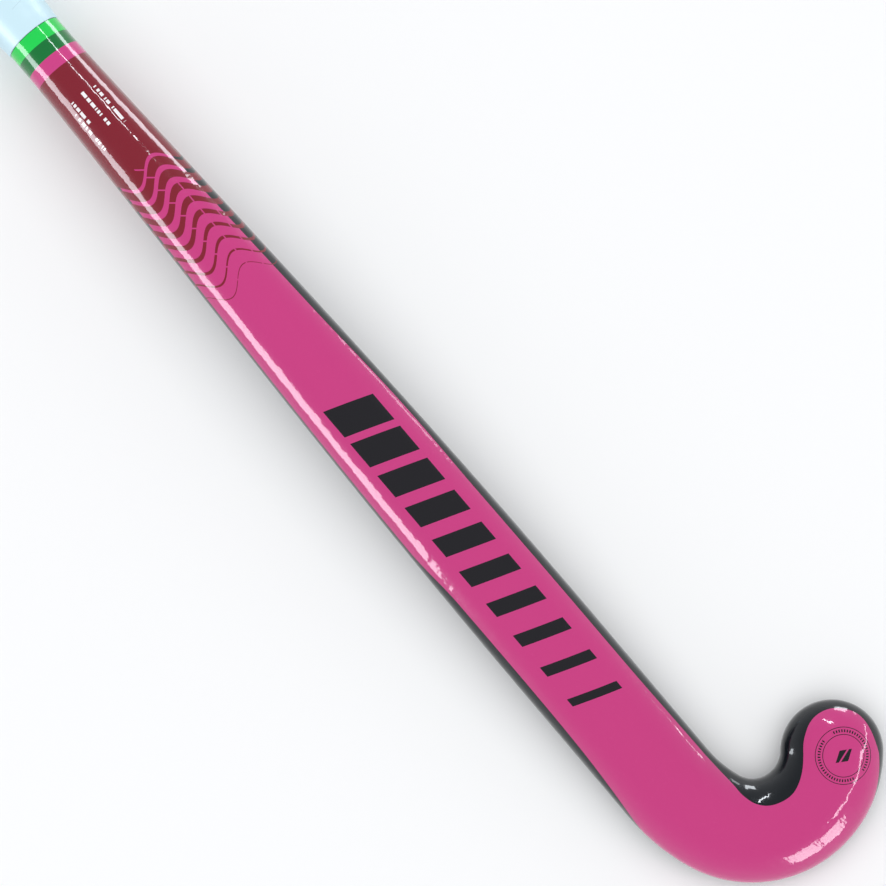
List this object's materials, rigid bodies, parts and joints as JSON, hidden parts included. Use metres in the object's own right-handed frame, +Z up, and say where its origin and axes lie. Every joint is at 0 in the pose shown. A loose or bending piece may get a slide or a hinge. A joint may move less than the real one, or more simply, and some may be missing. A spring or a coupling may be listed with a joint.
{
  "type": "field hockey stick",
  "caption": "Bowed wooden field hockey stick with a J-shaped head, flat playing face, rounded back, lacquered fibreglass skin, cushioned grip and rubber butt cap.",
  "frame": {"origin": "middle of the stick's bounding box, on the floor that it lies on", "axes": "+X from the butt to the head, +Y to the side that the toe hooks to, +Z up, out of the rounded back; the flat playing face looks down"},
  "size_m": [0.7678, 0.107, 0.0436],
  "materials": {
    "ply_wood": "bare",
    "pink_lacquer": "gloss",
    "dark_lacquer": "gloss",
    "cushion_grip": "matte",
    "tape": "satin",
    "cap_rubber": "matte"
  },
  "bodies": {
    "root": {"wood_ply_01": "ply_wood", "wood_ply_02": "ply_wood", "wood_ply_03": "ply_wood", "wood_ply_04": "ply_wood", "wood_ply_05": "ply_wood", "wood_ply_06": "ply_wood", "wood_ply_07": "ply_wood", "wood_ply_08": "ply_wood", "wood_ply_09": "ply_wood", "wood_ply_10": "ply_wood", "face_glass": "dark_lacquer", "back_glass": "pink_lacquer", "grip_wrap": "cushion_grip", "finishing_tape": "tape", "butt_cap": "cap_rubber"}
  },
  "joints": []
}
